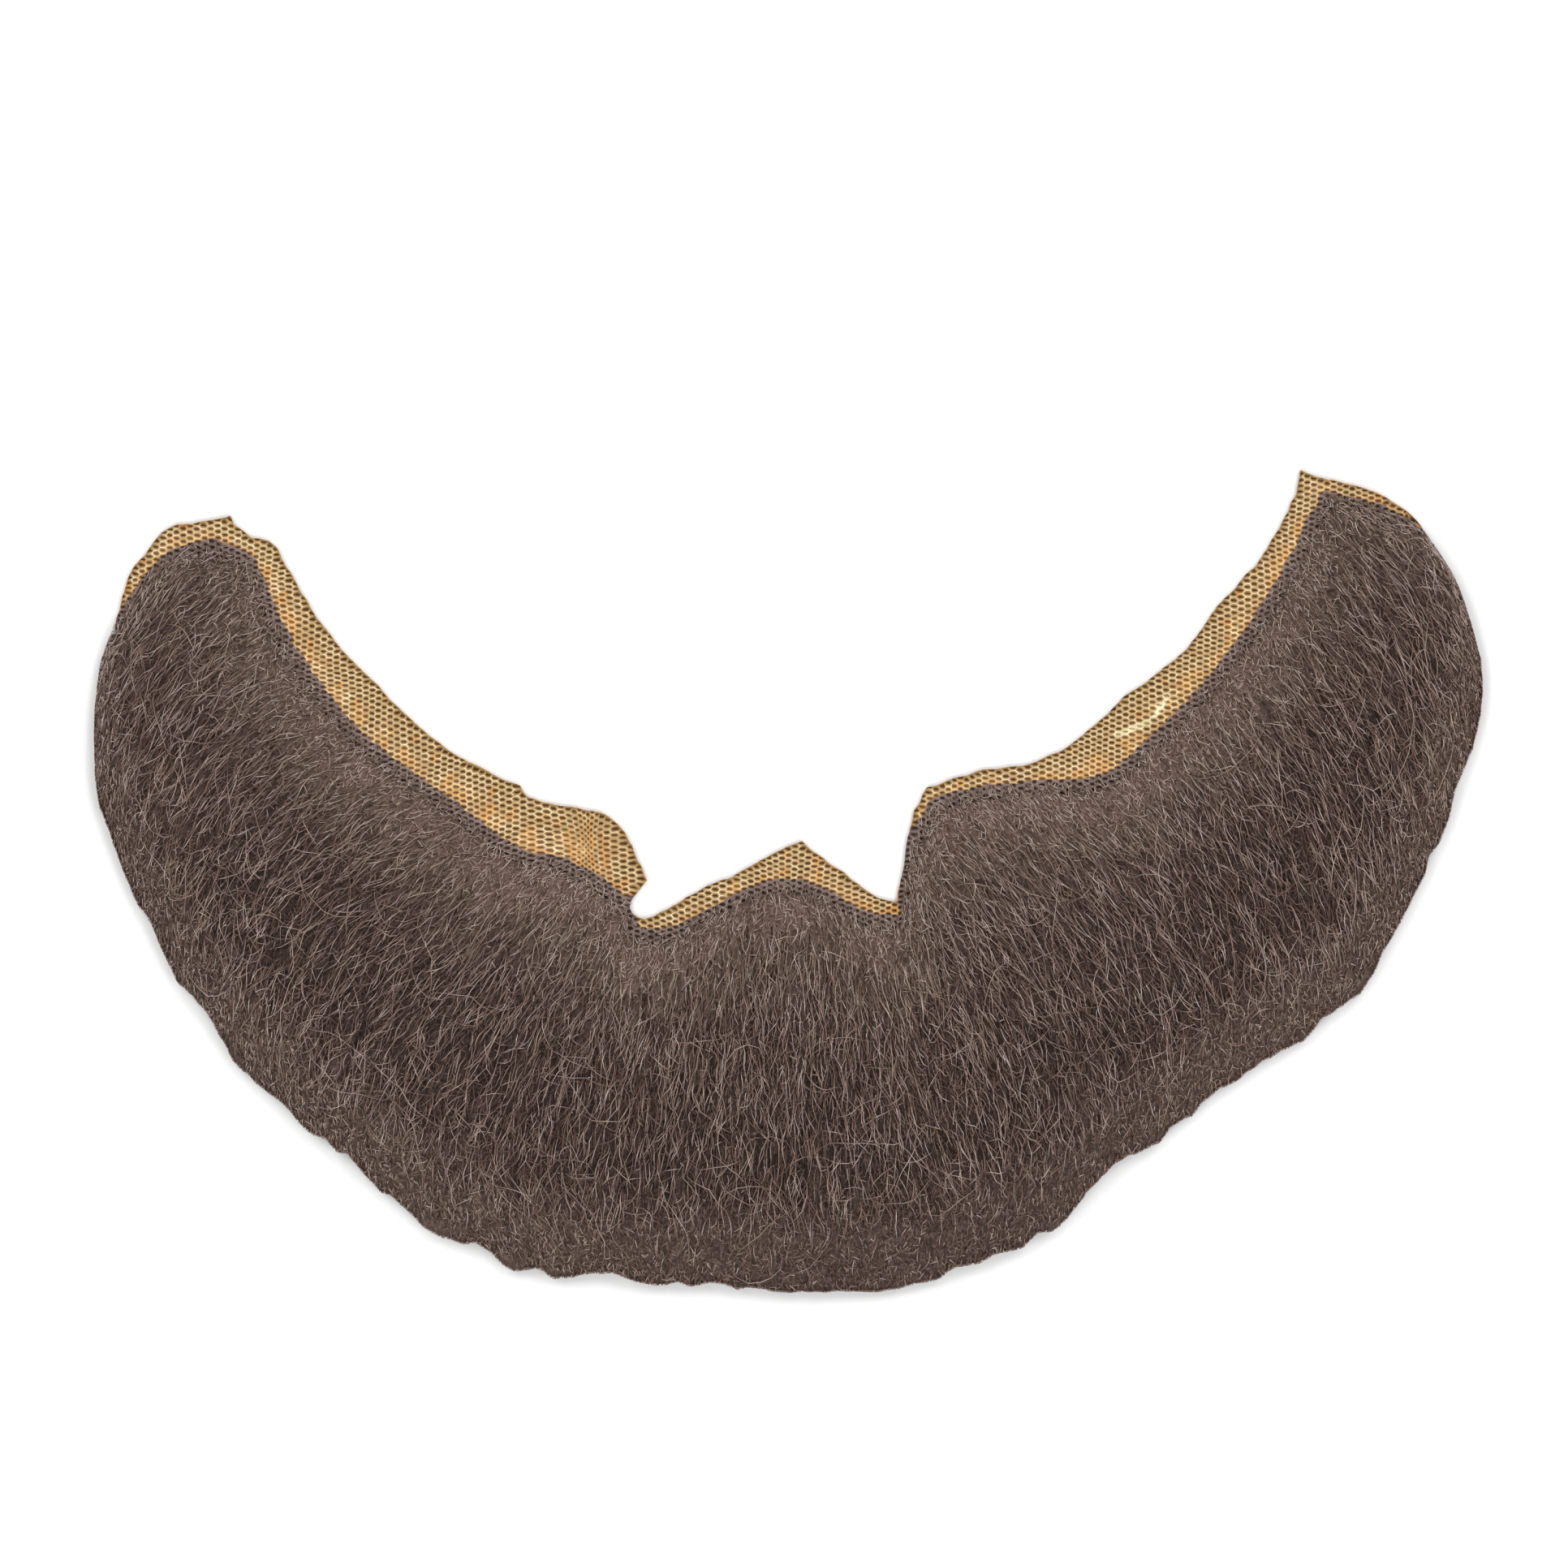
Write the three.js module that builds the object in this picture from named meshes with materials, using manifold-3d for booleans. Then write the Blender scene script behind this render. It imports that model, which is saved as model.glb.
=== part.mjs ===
// A false beard lying flat: a crescent of lace net, cut to pass round the mouth and up the jaw to both
// sideburns, and the coat of hair that is knotted to it in locks and hangs past the net's outer edge.
// Millimetres, +Z up, +Y towards the sideburns, origin on the resting plane under the middle of the beard.
import * as THREE from "three";
import { mergeVertices } from "three/addons/utils/BufferGeometryUtils.js";
import Module from "manifold-3d";

// Driving dimensions
const NET_THICKNESS = 1; // lace net with its knots
const NET_SHARE = 0.42; // share of the hair's length, from the hairline, that lies over the net
const SEAT_GAP = 0.3; // all round between the net and the hair
const LOCK_SPACING = 9.5; // from lock to lock along the outer edge
const LOCK_OVERLAP = 1.4; // a lock's own width as a share of that spacing
const PILE_PER_LENGTH = 0.145; // height of the coat as a share of the hair's length
const BED_HEIGHT = 0.9; // knots and short hair that the locks stand on
const BED_SHARE = 0.93; // share of the hair's length that the bed reaches to
const CREST_SWING = 0.09; // how much lower or higher a lock is than its neighbours
const REACH_SWING = 0.008; // how much longer or shorter a lock is than its neighbours
const ROOT_INSET = 1.5; // from the hairline to where a lock's root starts inside the bed
const END_INSET = 0.006; // share of the outer edge left free of locks at both ends
const STEPS_PER_SECTION = 4; // straight steps along the edges between two sections

// Sections across the beard, from its left end to its right end as it is seen from the front.
// edge_x, edge_y: cut edge of the net. bare: width of net left without hair. tip_x, tip_y: end of the
// longest hair. bow: how far the hair swings aside on its way, as a share of its length, to the left of
// its way when positive. corner: 1 where the cut edge turns sharply.
const SECTION_COLUMNS = ["place", "edge_x", "edge_y", "bare", "tip_x", "tip_y", "bow", "corner"];
const SECTIONS = [
  ["left end", -145.5, 56, 0.3, -147.5, 51.5, 0, 1],
  ["left outer net", -142, 66.5, 5, -149, 46, 0.15, 0],
  ["left top net", -133, 76.5, 6, -150, 37, 0.04, 0],
  ["left sideburn tip", -121, 79, 5.5, -150, 27.5, -0.09, 1],
  ["left shoulder", -112.3, 74, 4.5, -148.8, 17, -0.15, 1],
  ["left upper cheek", -101, 56, 7, -142, -1, -0.18, 0],
  ["left cheek", -86, 39, 8.5, -128, -27, -0.2, 0],
  ["left lower cheek", -65, 24, 9, -106, -52, -0.2, 0],
  ["left jaw", -51, 16.5, 11, -86, -68, -0.17, 0],
  ["left lip bulge", -39, 14, 12, -70, -78, -0.14, 0],
  ["left lip corner", -31, 0, 4.5, -54, -84, -0.2, 1],
  ["left notch wall", -34.3, -5, 0.4, -48, -85, -0.1, 0],
  ["left notch floor", -31, -7.8, 1.2, -41, -86, -0.08, 0],
  ["left chin", -23, -4, 5, -28, -87.4, -0.04, 0],
  ["left under lip", -9, 3, 4.2, -13, -87.6, -0.01, 0],
  ["chin peak", 3, 8.7, 8, 2, -89, 0, 1],
  ["right chin", 15, -0.8, 4.8, 18, -88.3, 0, 0],
  ["right notch", 23.5, -4.5, 1.5, 34, -85.2, 0.03, 1],
  ["right lip wall", 25.8, 9, 0.5, 45.5, -81.3, 0.14, 0],
  ["right lip corner", 30, 20.3, 2, 58, -74, 0.12, 1],
  ["right jaw", 50, 25.3, 3.5, 75, -59.3, 0.1, 0],
  ["right lower cheek", 65, 32.5, 9.5, 93, -45, 0.1, 0],
  ["right cheek", 86, 50.5, 7.5, 121, -25.5, 0.1, 0],
  ["right upper cheek", 101, 69, 6, 138.5, 4, 0.08, 0],
  ["right shoulder", 109, 82, 4.5, 147, 27, 0.08, 0],
  ["right sideburn tip", 111, 89, 6, 150, 43, 0.08, 1],
  ["right top net", 124, 85.5, 3, 146, 61.5, 0.04, 0],
  ["right end", 133.5, 80.5, 0.5, 138, 75.5, 0, 1],
].map((row) => Object.fromEntries(row.map((value, i) => [SECTION_COLUMNS[i], value])));
const LAST = SECTIONS.length - 1;

// A lock along its length. share: of the hair's length. rise: of the coat's height. width: of the full width.
const LOCK_STATIONS = [
  { share: 0, rise: 0.02, width: 0.95 },
  { share: 0.12, rise: 0.42, width: 1 },
  { share: 0.32, rise: 0.82, width: 1 },
  { share: 0.58, rise: 1, width: 1 },
  { share: 0.82, rise: 0.74, width: 0.97 },
  { share: 0.96, rise: 0.34, width: 0.88 },
  { share: 1, rise: 0.1, width: 0.52 },
];

// A lock's cross section. across: from its left side, -1, to its right side, 1. up: of its height.
const LOCK_ARCH = [
  { across: -1, up: 0 },
  { across: -0.82, up: 0.66 },
  { across: -0.36, up: 0.96 },
  { across: 0.36, up: 0.96 },
  { across: 0.82, up: 0.66 },
  { across: 1, up: 0 },
];

const SEAT_HEIGHT = NET_THICKNESS + SEAT_GAP;
const NET_COLOUR = 0xd9a962;
const HAIR_COLOUR = 0x54443c;

const wasm = await Module();
wasm.setup();

// Smooth curve through points, one step of its parameter for each point.
function curveThrough(points) {
  return new THREE.CatmullRomCurve3(points, false, "catmullrom", 0.5);
}

// The net's cut edge as smooth runs that meet at the corners.
const edgePoints = SECTIONS.map((row) => new THREE.Vector3(row.edge_x, row.edge_y, 0));
const corners = SECTIONS.flatMap((row, i) => (row.corner ? [i] : []));
const edgeRuns = corners.slice(1).map((end, i) => {
  const start = corners[i];
  return { start, end, curve: curveThrough(edgePoints.slice(start, end + 1)) };
});

const tipCurve = curveThrough(SECTIONS.map((row) => new THREE.Vector3(row.tip_x, row.tip_y, 0)));
tipCurve.arcLengthDivisions = LAST * 20;

function edgeAt(s) {
  const run = edgeRuns.find(({ end }) => s <= end);
  return run.curve.getPoint((s - run.start) / (run.end - run.start));
}

// A column of the table at a place between two sections.
function columnAt(name, s) {
  const row = Math.min(Math.floor(s), LAST - 1);
  return THREE.MathUtils.lerp(SECTIONS[row][name], SECTIONS[row + 1][name], s - row);
}

// The way of the hair at place s: from the cut edge of the net to the tip, bowed to one side.
function hairWay(s) {
  const edge = edgeAt(s);
  const tip = tipCurve.getPoint(s / LAST);
  const chord = tip.clone().sub(edge);
  const left = new THREE.Vector3(-chord.y, chord.x, 0);
  const bend = edge.clone().lerp(tip, 0.5).addScaledVector(left, columnAt("bow", s));
  const length = chord.length();
  const hairline = columnAt("bare", s) / length;
  return { length, hairline, curve: new THREE.QuadraticBezierCurve3(edge, bend, tip) };
}

// A point in plan. share runs from 0 at the hairline to 1 at the tip.
function planPoint(s, share) {
  const way = hairWay(s);
  return way.curve.getPoint(THREE.MathUtils.lerp(way.hairline, 1, share));
}

// The hair's length past the hairline.
function hairLength(s) {
  const way = hairWay(s);
  return way.length * (1 - way.hairline);
}

// Places from one end of the beard to the other.
const places = Array.from({ length: LAST * STEPS_PER_SECTION + 1 }, (_, i) => i / STEPS_PER_SECTION);

// A flat slab between two edges, each a function of the place, from z = 0 to its height.
// grow: how far it stands out past its faces all round.
function slab(innerEdge, outerEdge, height, grow = 0) {
  const outline = [...places.map(innerEdge), ...places.toReversed().map(outerEdge)];
  const shape = new THREE.Shape(outline.map(({ x, y }) => new THREE.Vector2(x, y)));
  const margin = { bevelSize: grow, bevelThickness: grow, bevelSegments: 1 };
  return new THREE.ExtrudeGeometry(shape, { depth: height, bevelEnabled: grow > 0, ...margin });
}

// The net, or with a margin the seat that it needs in the hair.
function netSlab(grow) {
  return slab(edgeAt, (s) => planPoint(s, NET_SHARE), NET_THICKNESS, grow);
}

function bedSlab() {
  return slab((s) => planPoint(s, 0), (s) => planPoint(s, BED_SHARE), SEAT_HEIGHT + BED_HEIGHT);
}

// One lock: arched sections carried along the hair's way, with flat ends.
function lockGeometry(index, count) {
  const middle = (index + 0.5) / count;
  const halfWidth = LOCK_OVERLAP / count / 2;
  const crest = 1 + CREST_SWING * Math.sin(index * 2.4);
  const reach = 1 + REACH_SWING * Math.sin(index * 1.7);
  const positions = LOCK_STATIONS.flatMap(({ share, rise, width }) =>
    LOCK_ARCH.flatMap(({ across, up }) => {
      const along = THREE.MathUtils.clamp(middle + across * width * halfWidth, END_INSET, 1 - END_INSET);
      const s = tipCurve.getUtoTmapping(along) * LAST;
      const length = hairLength(s);
      const pile = length * PILE_PER_LENGTH * crest;
      const { x, y } = planPoint(s, THREE.MathUtils.lerp(ROOT_INSET / length, reach, share));
      return [x, y, up * (SEAT_HEIGHT + rise * pile)];
    }),
  );

  const sides = LOCK_ARCH.length;
  const end = (LOCK_STATIONS.length - 1) * sides;
  const faces = [];
  for (let ring = 0; ring < end; ring += sides) {
    for (let i = 0; i < sides; i++) {
      const [a, b] = [ring + i, ring + ((i + 1) % sides)];
      faces.push(a, a + sides, b, b, a + sides, b + sides);
    }
  }
  for (let i = 1; i < sides - 1; i++) {
    faces.push(0, i, i + 1, end, end + i + 1, end + i);
  }

  const geometry = new THREE.BufferGeometry();
  geometry.setAttribute("position", new THREE.Float32BufferAttribute(positions, 3));
  geometry.setIndex(faces);
  return geometry;
}

function solidOf(geometry) {
  const bare = geometry.clone();
  bare.deleteAttribute("normal");
  bare.deleteAttribute("uv");
  const merged = mergeVertices(bare);
  const mesh = new wasm.Mesh({
    numProp: 3,
    vertProperties: merged.attributes.position.array,
    triVerts: new Uint32Array(merged.index.array),
  });
  return new wasm.Manifold(mesh);
}

function geometryOf(solid) {
  const { vertProperties, triVerts } = solid.getMesh();
  const geometry = new THREE.BufferGeometry();
  geometry.setAttribute("position", new THREE.BufferAttribute(vertProperties, 3));
  geometry.setIndex(new THREE.BufferAttribute(triVerts, 1));
  geometry.computeVertexNormals();
  return geometry;
}

// The locks fused to their bed, with the seat of the net cut out underneath.
function hairCoat() {
  const count = Math.round(tipCurve.getLength() / LOCK_SPACING);
  const locks = Array.from({ length: count }, (_, i) => solidOf(lockGeometry(i, count)));
  const fused = locks.reduce((coat, lock) => coat.add(lock), solidOf(bedSlab()));
  return geometryOf(fused.subtract(solidOf(netSlab(SEAT_GAP))));
}

function piece(name, geometry, material) {
  const mesh = new THREE.Mesh(geometry, material);
  mesh.name = name;
  return mesh;
}

const netMaterial = new THREE.MeshStandardMaterial({ color: NET_COLOUR, roughness: 0.85, metalness: 0 });
const hairMaterial = new THREE.MeshStandardMaterial({ color: HAIR_COLOUR, roughness: 0.6, metalness: 0 });

const beard = new THREE.Group();
beard.add(
  piece("lace_net", netSlab(), netMaterial),
  piece("hair_coat", hairCoat(), hairMaterial),
);

// The origin goes under the middle of the whole beard.
const middle = new THREE.Box3().setFromObject(beard).getCenter(new THREE.Vector3());
for (const { geometry } of beard.children) {
  geometry.translate(-middle.x, -middle.y, 0);
}

export default beard;
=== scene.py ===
import bpy
import numpy as np
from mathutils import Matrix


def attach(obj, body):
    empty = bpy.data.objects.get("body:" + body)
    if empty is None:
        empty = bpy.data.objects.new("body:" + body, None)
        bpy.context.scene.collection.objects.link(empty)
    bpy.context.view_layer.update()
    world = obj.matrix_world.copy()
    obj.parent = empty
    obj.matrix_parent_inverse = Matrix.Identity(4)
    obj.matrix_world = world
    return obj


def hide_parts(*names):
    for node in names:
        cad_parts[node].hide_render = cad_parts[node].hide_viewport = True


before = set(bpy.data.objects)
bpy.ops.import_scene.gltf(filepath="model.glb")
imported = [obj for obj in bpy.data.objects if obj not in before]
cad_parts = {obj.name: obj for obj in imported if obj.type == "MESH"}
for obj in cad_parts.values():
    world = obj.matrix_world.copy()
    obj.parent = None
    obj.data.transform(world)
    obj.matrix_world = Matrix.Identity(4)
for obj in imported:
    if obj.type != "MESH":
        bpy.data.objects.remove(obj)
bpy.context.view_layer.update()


# Lace net: one flat crescent of tan hexagonal net, cut by hand round the mouth and up the jaw to both
# sideburns. Its bare rim is glued to the skin, and the hair is knotted to its threads further out.
# It is laid flat on its underside.

# Sections across the beard from its left end to its right end, in mm: cut edge of the net x and y, width of
# net left bare, end of the longest hair x and y, swing of the hair aside as a share of its length, and 1
# where the cut edge turns a corner.
PLAN = np.array([
    [-145.5, 56, 0.3, -147.5, 51.5, 0, 1],  # left end
    [-142, 66.5, 5, -149, 46, 0.15, 0],  # left outer net
    [-133, 76.5, 6, -150, 37, 0.04, 0],  # left top net
    [-121, 79, 5.5, -150, 27.5, -0.09, 1],  # left sideburn tip
    [-112.3, 74, 4.5, -148.8, 17, -0.15, 1],  # left shoulder
    [-101, 56, 7, -142, -1, -0.18, 0],  # left upper cheek
    [-86, 39, 8.5, -128, -27, -0.2, 0],  # left cheek
    [-65, 24, 9, -106, -52, -0.2, 0],  # left lower cheek
    [-51, 16.5, 11, -86, -68, -0.17, 0],  # left jaw
    [-39, 14, 12, -70, -78, -0.14, 0],  # left lip bulge
    [-31, 0, 4.5, -54, -84, -0.2, 1],  # left lip corner
    [-34.3, -5, 0.4, -48, -85, -0.1, 0],  # left notch wall
    [-31, -7.8, 1.9, -41, -86, -0.08, 0],  # left notch floor
    [-23, -4, 5, -28, -87.4, -0.04, 0],  # left chin
    [-9, 3, 4.2, -13, -87.6, -0.01, 0],  # left under lip
    [3, 8.7, 8, 2, -89, 0, 1],  # chin peak
    [15, -0.8, 4.8, 18, -88.3, 0, 0],  # right chin
    [23.5, -4.5, 2.6, 34, -85.2, 0.03, 1],  # right notch
    [25.8, 9, 0.5, 45.5, -81.3, 0.14, 0],  # right lip wall
    [30, 20.3, 2, 58, -74, 0.12, 1],  # right lip corner
    [50, 25.3, 3.5, 75, -59.3, 0.1, 0],  # right jaw
    [65, 32.5, 9.5, 93, -45, 0.1, 0],  # right lower cheek
    [86, 50.5, 7.5, 121, -25.5, 0.1, 0],  # right cheek
    [101, 69, 6, 138.5, 4, 0.08, 0],  # right upper cheek
    [109, 82, 4.5, 147, 27, 0.08, 0],  # right shoulder
    [111, 89, 6, 150, 43, 0.08, 1],  # right sideburn tip
    [124, 85.5, 5.8, 146, 61.5, 0.04, 0],  # right top net
    [133.5, 80.5, 4.4, 138, 75.5, 0, 1],  # right end
])
CUT_EDGE = PLAN[:, 0:2]
HAIR_TIP = PLAN[:, 3:5]
HAIR_SWING = PLAN[:, 5]
CUT_CORNER = PLAN[:, 6] > 0
SECTION = np.arange(len(PLAN))

# The hairline is rounder than the cut over the chin and straighter past the right lip corner: the place
# between two sections, and the width of net left bare there.
ROUNDED = np.array([[14.5, 5.1], [15.5, 5.3], [19.5, 2]])
bare = np.concatenate([np.column_stack([SECTION, PLAN[:, 2]]), ROUNDED])
BARE_PLACE, BARE_WIDTH = bare[np.argsort(bare[:, 0])].T
BEARD_END = (SECTION == 0) | (SECTION == SECTION[-1])


def smooth_through(points, place, corner):
    """Smooth line through points, one unit of place from each to the next: every leg is the cubic whose end
    slopes are half the step from the point before to the point after. At a corner the point beyond is the
    leg's own mirror image, so the line turns sharply there."""
    last = len(points) - 1
    leg = np.clip(np.floor(place).astype(int), 0, last - 1)
    t = (place - leg)[..., None]
    here = points[leg]
    there = points[leg + 1]
    before = np.where(corner[leg][..., None], 2 * here - there, points[np.maximum(leg - 1, 0)])
    after = np.where(corner[leg + 1][..., None], 2 * there - here, points[np.minimum(leg + 2, last)])
    return (
        (1 + 2 * t) * (1 - t) ** 2 * here
        + t * (1 - t) ** 2 * (there - before) / 2
        + t**2 * (3 - 2 * t) * there
        - t**2 * (1 - t) * (after - here) / 2
    )


def hair_length(place):
    """Length of the hair past the hairline: straight from the cut edge to the tip, less the bare width."""
    reach = smooth_through(HAIR_TIP, place, BEARD_END) - smooth_through(CUT_EDGE, place, CUT_CORNER)
    return np.linalg.norm(reach, axis=-1) - np.interp(place, BARE_PLACE, BARE_WIDTH)


def hair_plan(place, share):
    """Plan of the hair: at each place a parabola from the cut edge to the tip, whose middle control point is
    pushed aside by the swing times the straight reach. share is 0 at the hairline and 1 at the tip."""
    place, share = np.broadcast_arrays(np.asarray(place, float), share)
    edge = smooth_through(CUT_EDGE, place, CUT_CORNER)
    tip = smooth_through(HAIR_TIP, place, BEARD_END)
    reach = tip - edge
    aside = np.stack([-reach[..., 1], reach[..., 0]], axis=-1)
    bend = (edge + tip) / 2 + np.interp(place, SECTION, HAIR_SWING)[..., None] * aside
    hairline = np.interp(place, BARE_PLACE, BARE_WIDTH) / np.linalg.norm(reach, axis=-1)
    r = (hairline + (1 - hairline) * share)[..., None]
    return (1 - r) ** 2 * edge + 2 * r * (1 - r) * bend + r**2 * tip


def wander(x, y, wavelength, seed):
    """Gentle random field, mostly from -1 to 1: twelve sine waves in random directions and of random phase,
    with wavelengths round the one given, added up and evened out."""
    waves = 12
    dice = np.random.default_rng(seed)
    turn = dice.uniform(0, 2 * np.pi, waves)
    pitch = 2 * np.pi / (wavelength * dice.uniform(0.7, 1.5, waves))
    phase = dice.uniform(0, 2 * np.pi, waves)
    across = np.asarray(x)[..., None] * np.cos(turn) + np.asarray(y)[..., None] * np.sin(turn)
    return np.sin(pitch * across + phase).sum(axis=-1) / 3.4


def inside(points, outline):
    """Even-odd rule: a point is inside where its ray to the right crosses the outline an odd number of
    times."""
    x = points[:, 0:1]
    y = points[:, 1:2]
    x0, y0 = outline.T
    x1, y1 = np.roll(outline, -1, axis=0).T
    crosses = (y0 > y) != (y1 > y)
    crossing = x0 + (y - y0) * (x1 - x0) / np.where(y1 == y0, 1, y1 - y0)
    return (crosses & (x < crossing)).sum(axis=1) % 2 == 1


def nearest_on(points, line):
    """For each point the nearest point of a finely divided line, and the distance to it."""
    gap = np.linalg.norm(points[:, None] - line[None], axis=-1)
    near = gap.argmin(axis=1)
    return line[near], gap[np.arange(len(points)), near]


NET_SHARE = 0.42  # share of the hair's length that lies over the net
NET_TOP = 0.95  # mm, crest of the threads
KNOT_LIFT = 0.04  # mm, by which the crossings rise and sink
HOLE_SIZE = np.array([0.45, 0.07])  # clear slit as a share of its mesh's width and height
HOLE_HEIGHT = 0.42  # mm, of the narrowest part of the slit
MESH_STEP = np.array([0.4783, 0.62])  # mm, a third of the step between columns and half a mesh's height
HEXAGON = np.array([[2, 0], [1, 1], [-1, 1], [-2, 0], [-1, -1], [1, -1]])
PUCKER = np.array([-43.5, 8.5])  # mm, where the net is drawn together beside the lip
PUCKER_REACH = np.array([7.5, 9])  # mm

# Where the scissors strayed from the smooth cut: the place, and mm outwards.
STRAYED = np.array([
    [0.5, 0], [1.1, 1.4], [1.4, 0.2], [1.7, 1.6], [2.4, -0.4], [3, 0.4], [3.2, -0.8], [3.7, -1.3],
    [4.1, 0.5], [5.2, 0], [5.8, 0.8], [6.6, -0.8], [7.4, 1], [7.6, -0.3], [8.2, 1], [8.7, 0], [9.5, 1.1],
    [10, 0.8], [10.3, 0], [13, 0.2], [13.4, 0.7], [13.7, 0], [14.7, 0.8], [15.2, 0], [15.8, 0.9],
    [16.6, -0.4], [17.1, 0.6], [17.6, -0.4], [18.5, 1], [19, 0.3], [19.6, 1.5], [20.1, -0.3], [20.8, 0],
    [21.4, 1.4], [22, -0.1], [22.4, 1.2], [23, -0.2], [24, 0.3], [25, 0.3], [25.2, -0.8], [25.9, -0.3],
    [26.6, 1.2], [27, 0],
])

FINE = 40  # steps of a finely divided line from one section to the next
fine_place = np.linspace(0, SECTION[-1], SECTION[-1] * FINE + 1)
cut_line = smooth_through(CUT_EDGE, fine_place, CUT_CORNER)
hair_line = hair_plan(fine_place, 0)
inwards = (hair_line - cut_line) / np.linalg.norm(hair_line - cut_line, axis=1, keepdims=True)
strayed = np.interp(fine_place, *STRAYED.T) + 0.12 * wander(17 * fine_place, 0 * fine_place, 5, 11)
cut_line = cut_line - strayed[:, None] * inwards
hidden_line = hair_plan(fine_place, NET_SHARE)
net_outline = np.concatenate([cut_line, hidden_line[::-1]])


def net_lie(grid):
    """Where a crossing of the net lies: its place in the even net, moved by a slow wander of a third of a
    mm, and drawn sideways towards the pucker by a bell curve."""
    x, y = (grid * MESH_STEP).T
    lie = np.stack([x + 0.35 * wander(x, y, 22, 1), y + 0.35 * wander(x, y, 22, 2)], axis=-1)
    off = lie - PUCKER
    draw = 0.6 * np.exp(-((off / PUCKER_REACH) ** 2).sum(axis=-1))
    lie[:, 0] -= draw * off[:, 0]
    return lie


# An even net a little larger than the beard, of which the meshes inside the outline are kept.
column, row = np.meshgrid(np.arange(-104, 98), np.arange(-36, 75))
mesh_centre = np.stack([3 * column, 2 * row + column % 2], axis=-1).reshape(-1, 2)
mesh_centre = mesh_centre[inside(net_lie(mesh_centre), net_outline)]
hexagons = (mesh_centre[:, None] + HEXAGON).reshape(-1, 2)
crossing, mesh_corner = np.unique(hexagons, axis=0, return_inverse=True)
mesh_corner = mesh_corner.reshape(-1, 6)
next_corner = np.roll(mesh_corner, -1, axis=1)
thread_dice = np.random.default_rng(4)
crossing_plan = net_lie(crossing) + thread_dice.normal(0, 0.06, crossing.shape)

# The meshes along an edge are cut through there, so their outer crossings are drawn onto the edge.
side = np.sort(np.stack([mesh_corner.ravel(), next_corner.ravel()], axis=1), axis=1)
_, side_number, side_uses = np.unique(side, axis=0, return_inverse=True, return_counts=True)
open_side = (side_uses[side_number.ravel()] == 1).reshape(-1, 6)
rim = np.unique(np.concatenate([mesh_corner[open_side], next_corner[open_side]]))
onto_edge, _ = nearest_on(crossing_plan[rim], net_outline)
crossing_plan[rim] += 0.9 * (onto_edge - crossing_plan[rim])
cut_tip = cut_line[FINE * SECTION[CUT_CORNER]]
at_tip = np.linalg.norm(crossing_plan[rim][:, None] - cut_tip[None], axis=-1).argmin(axis=0)
crossing_plan[rim[at_tip]] = cut_tip

# Points: the top of each crossing, its underside, and six round the slit of each mesh.
hole_middle = crossing_plan[mesh_corner].mean(axis=1, keepdims=True)
hole_plan = hole_middle + HOLE_SIZE * (crossing_plan[mesh_corner] - hole_middle)
knot_lift = KNOT_LIFT * wander(*crossing_plan.T, 1.7, 3)
crest = np.column_stack([crossing_plan, NET_TOP - 0.05 + knot_lift])
sole = np.column_stack([crossing_plan, np.zeros(len(crossing))])
hole_rim = np.column_stack([hole_plan.reshape(-1, 2), np.full(hole_plan.size // 2, HOLE_HEIGHT)])
net_points = np.concatenate([crest, sole, hole_rim])

# Faces: from the crossings down to the slits, back along the underside, and up the wall of each cut edge.
rim_corner = 2 * len(crossing) + np.arange(len(hole_rim)).reshape(-1, 6)
next_rim = np.roll(rim_corner, -1, axis=1)
slopes = np.stack([mesh_corner, next_corner, next_rim, rim_corner], axis=-1).reshape(-1, 4)
under = np.stack([mesh_corner, rim_corner, next_rim, next_corner], axis=-1).reshape(-1, 4)
under[:, [0, 3]] += len(crossing)
wall_from = mesh_corner[open_side]
wall_to = next_corner[open_side]
walls = np.stack([wall_from + len(crossing), wall_to + len(crossing), wall_to, wall_from], axis=-1)

# Each point's place in the colour chart of the net: across it from the painted shade at the foot of a thread
# and round its slit to the painted highlight on its crest, up it from pale glue, through plain tan and
# stained, to the grey of the net under the first hair.
TAN_BAND = 0.25
STAINED_BAND = 0.46
GREY_BAND = 0.8
NOTCHES = CUT_EDGE[[10, 12, 17]]  # the hem of the net is most stained here
GLUE_MARKS = np.array([  # mm, from one end of each to the other
    [[71.2, 32.1], [73.4, 33.2]],
    [[74.2, 33.6], [78, 35.1]],
    [[79.4, 36.4], [81.7, 40]],
])
plan = net_points[:, :2]
_, past_hair_line = nearest_on(plan, hair_line[::4])
_, past_cut = nearest_on(plan, cut_line[::4])
bare_share = past_hair_line / np.maximum(past_hair_line + past_cut, 0.1)
NARROW_STRIP = 2.2  # mm, bare strips narrower than this are grey with hair, short of the sideburns
SIDEBURN = 100  # mm, from the middle of the face
narrow = np.clip(NARROW_STRIP - past_hair_line - past_cut, 0, 1.5) * (np.abs(plan[:, 0]) < SIDEBURN)
under_hair = inside(plan, np.concatenate([hair_line, hidden_line[::-1]]))
bare_share[under_hair] = 0
past_hair_line[~under_hair] *= -1
_, to_glue = nearest_on(plan, np.concatenate([np.linspace(*ends, 9) for ends in GLUE_MARKS]))
glue = np.clip(1.5 - to_glue / 0.6, 0, 1)

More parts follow.
